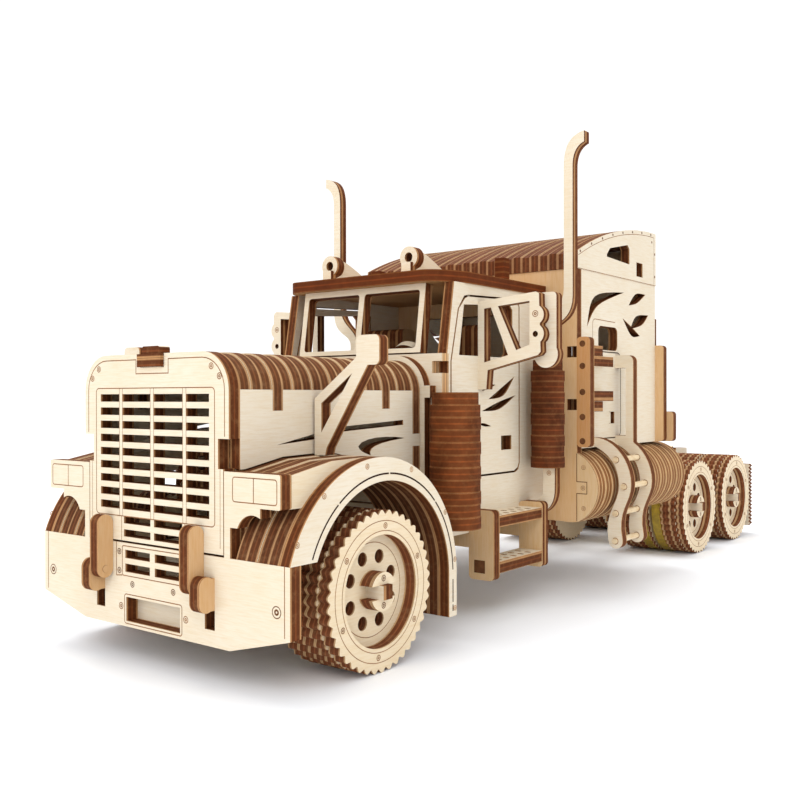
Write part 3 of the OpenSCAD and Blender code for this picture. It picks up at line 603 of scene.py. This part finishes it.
for side, s in (("left", 1), ("right", -1)):
    door = "door_l" if s > 0 else "door_r"
    lamp = [(s * u, v) for u, v in rounded(33.2, 49.8, 49.4, 56.2, 0.8)]
    front_marks(f"lamp_marks_{side}", [(lamp, True), upright(s * 41.0, 49.8, 56.2)], "soft_line")

    # fender trim: its slit is near-black lines, painted shadow in the open slit
    slit = [(arc(38.3, 22.8, 32.8, a0, a1, 10), False, 0.5)
            for a0, a1 in ((157, 128), (127, 88), (87, 45), (44, 2))]
    slit += [upright(71.1, 21.0, 14.0, 0.5), upright(71.1, 13.2, 11.2, 0.5)]
    side_marks(f"trim_slit_{side}", FENDER_FACE, slit, "soot_and_slit_shade", s)
    spots = [(2.6, 40.0), (12.6, 51.4), (30.0, 58.0), (50.0, 56.0), (67.0, 42.0), (72.2, 27.0), (72.2, 12.0)]
    side_marks(f"trim_rivets_{side}", FENDER_FACE, rivets(spots, 0.7), "faint", s)

    # sleeper side: the locker door, its frame and the arch over it
    locker = rounded(171.5, 60.2, 197.2, 94.9, 3.0)
    # the locker door's outline is a near-black line: painted shadow in the gap around the door
    side_marks(f"locker_{side}", SLEEPER_FACE, [(locker, True, 0.45)], "soot_and_slit_shade", s)
    frame_line = [(171.4, 94.9), (171.4, 105.0), *arc(173.4, 105.6, 2.0, 180, 92, 4), (192.0, 107.3)]
    side_marks(f"locker_frame_{side}", SLEEPER_FACE, [(frame_line, False, 0.3)], "soft_line", s)
    band = arch(ROOF_BAND, [159.0 + 3.4 * i for i in range(22)]) + [(231.8, 147.2), (231.8, 126.4)]
    sill = [(158.7, 126.2), (233.6, 126.2)]
    side_marks(f"gable_band_{side}", GABLE_FACE, [(band, False, 0.24), (sill, False, 0.2)], "soft_line", s)
    spots = arch(ROOF_RIVETS, [160.5 + 9.7 * i for i in range(8)])
    spots += [(232.7, 140.0), (232.7, 130.0), (229.5, 145.0)]
    side_marks(f"gable_rivets_{side}", GABLE_FACE, [(ring(u, v, 0.28, 10), True, 0.5) for u, v in spots],
               "line", s)

    # front edges of the sleeper and the tanks, ladders, door mirror
    dots = [(ring(s * 54.2, v, 0.62, 16), True, 1.2) for v in (97.1, 88.6, 78.7, 69.2, 60.0)]
    front_marks(f"strip_rivets_{side}", dots, "line", face=STRIP_FACE)
    joint = [(51.8, 29.4), (51.8, 40.0), (56.0, 40.0), (56.0, 44.5), (51.8, 44.5), (51.8, 55.2)]
    front_marks(f"tank_joint_{side}", [([(s * u, v) for u, v in joint], False, 0.3)], "line", face=TANK_FACE)
    front_marks(f"tank_rivets_{side}", rivets([(s * 54.6, 50.0), (s * 54.4, 42.2), (s * 54.6, 34.4)], 0.8),
                "faint", face=TANK_FACE)
    for y in LADDER_FACES:
        spots = [(s * u, v) for u, v in ((61.3, 52.4), (64.6, 42.2), (61.2, 31.6), (61.0, 20.9))]
        front_marks(f"ladder_rivets_{side}_{int(y)}", rivets(spots, 1.2), "soft_line", face=y)
    front_marks(f"mirror_rivets_{side}", rivets([(s * 60.8, 104.8)], 1.0), "soft_line", door,
                MIRROR_FACE)

    # blocks in the square openings of the door and of the sleeper's side, and the marks low on the side
    opening_block(f"door_step_{side}", 125.5, 57.7, 128.4, 62.7, 32.6, 35.4, s, door)
    opening_block(f"bunk_step_{side}", 186.2, 66.1, 188.6, 70.7, 48.6, 51.4, s, "chassis")
    side_marks(f"door_rivets_{side}", DOOR_FACE, rivets([(117.0, 88.0)], 0.7), "faint", s, door)
    tab = [(s * 40.2, 18.8), (s * 44.6, 18.8)]
    front_marks(f"step_tab_{side}", [(tab, False, 4.4)], "line", face=STEP_FACE)
    front_marks(f"elbow_rivets_{side}", rivets([(s * 48.2, 48.6)], 0.8), "faint", face=ELBOW_FACE)


# ---------------------------------------------------------------- stage, camera, light
scene = bpy.context.scene
scene.view_settings.view_transform = "Standard"
FLOOR_HALF = 40.0    # metres: the far edge is lost in the white world behind it
FLOOR_WHITE = (0.93, 0.95, 0.98)

# the camera that was fitted to the photo: its lens, its direction in degrees and where it stands, in metres
FOCAL_LENGTH = 937.09 / 800.0    # in picture widths
SENSOR = 36.0
AZIMUTH, PITCH, ROLL = 37.61, -0.19, 0.10
EYE = (0.21656, -0.16653, 0.07696)


def stage_floor():
    me = bpy.data.meshes.new("floor")
    s = FLOOR_HALF
    me.from_pydata([(-s, -s, 0), (s, -s, 0), (s, s, 0), (-s, s, 0)], [], [(0, 1, 2, 3)])
    o = bpy.data.objects.new("floor", me)
    scene.collection.objects.link(o)
    m = Tree("floor_white")
    m.plug(m.bsdf.inputs["Base Color"], (*FLOOR_WHITE, 1.0))
    m.shine(0.9, 0.1)
    me.materials.append(m.mat)


def camera():
    data = bpy.data.cameras.new("camera")
    data.sensor_width = SENSOR
    data.lens = FOCAL_LENGTH * SENSOR
    data.clip_start = 0.01
    o = bpy.data.objects.new("camera", data)
    scene.collection.objects.link(o)
    az, pitch = math.radians(AZIMUTH), math.radians(PITCH)
    right = Vector((math.cos(az), math.sin(az), 0.0))
    ahead = Vector((-math.sin(az) * math.cos(pitch), math.cos(az) * math.cos(pitch), math.sin(pitch)))
    up = right.cross(ahead)
    turn = Matrix.Rotation(math.radians(ROLL), 3, ahead)
    right, up = turn @ right, turn @ up
    o.matrix_world = Matrix((
        (right.x, up.x, -ahead.x, EYE[0]),
        (right.y, up.y, -ahead.y, EYE[1] - MID * MM),
        (right.z, up.z, -ahead.z, EYE[2]),
        (0.0, 0.0, 0.0, 1.0),
    ))
    scene.camera = o


def area(name, loc, target, size, power, color=(1.0, 1.0, 1.0)):
    """A soft light at loc that shines at target, both in metres from the bumper."""
    d = bpy.data.lights.new(name, "AREA")
    d.shape = "RECTANGLE"
    d.size, d.size_y = size
    d.energy = power
    d.color = color
    o = bpy.data.objects.new(name, d)
    scene.collection.objects.link(o)
    o.location = Vector(loc) + Vector((0.0, -MID * MM, 0.0))
    o.rotation_euler = (Vector(target) - Vector(loc)).to_track_quat("-Z", "Y").to_euler()


def white_world(strength):
    world = bpy.data.worlds.new("studio")
    scene.world = world
    world.use_nodes = True
    background = world.node_tree.nodes["Background"]
    background.inputs[0].default_value = (1.0, 1.0, 1.0, 1.0)
    background.inputs[1].default_value = strength


stage_floor()
camera()
area("key", (0.9, -0.9, 1.1), (0.0, 0.15, 0.05), (0.7, 0.7), 6.0, (1.0, 0.98, 0.95))
area("front", (-0.6, -1.3, 0.6), (0.0, 0.1, 0.07), (0.7, 0.5), 2.5, (1.0, 0.95, 0.88))
area("top", (-0.3, 0.3, 1.4), (0.0, 0.2, 0.0), (0.8, 0.8), 8.0)
white_world(1.1)
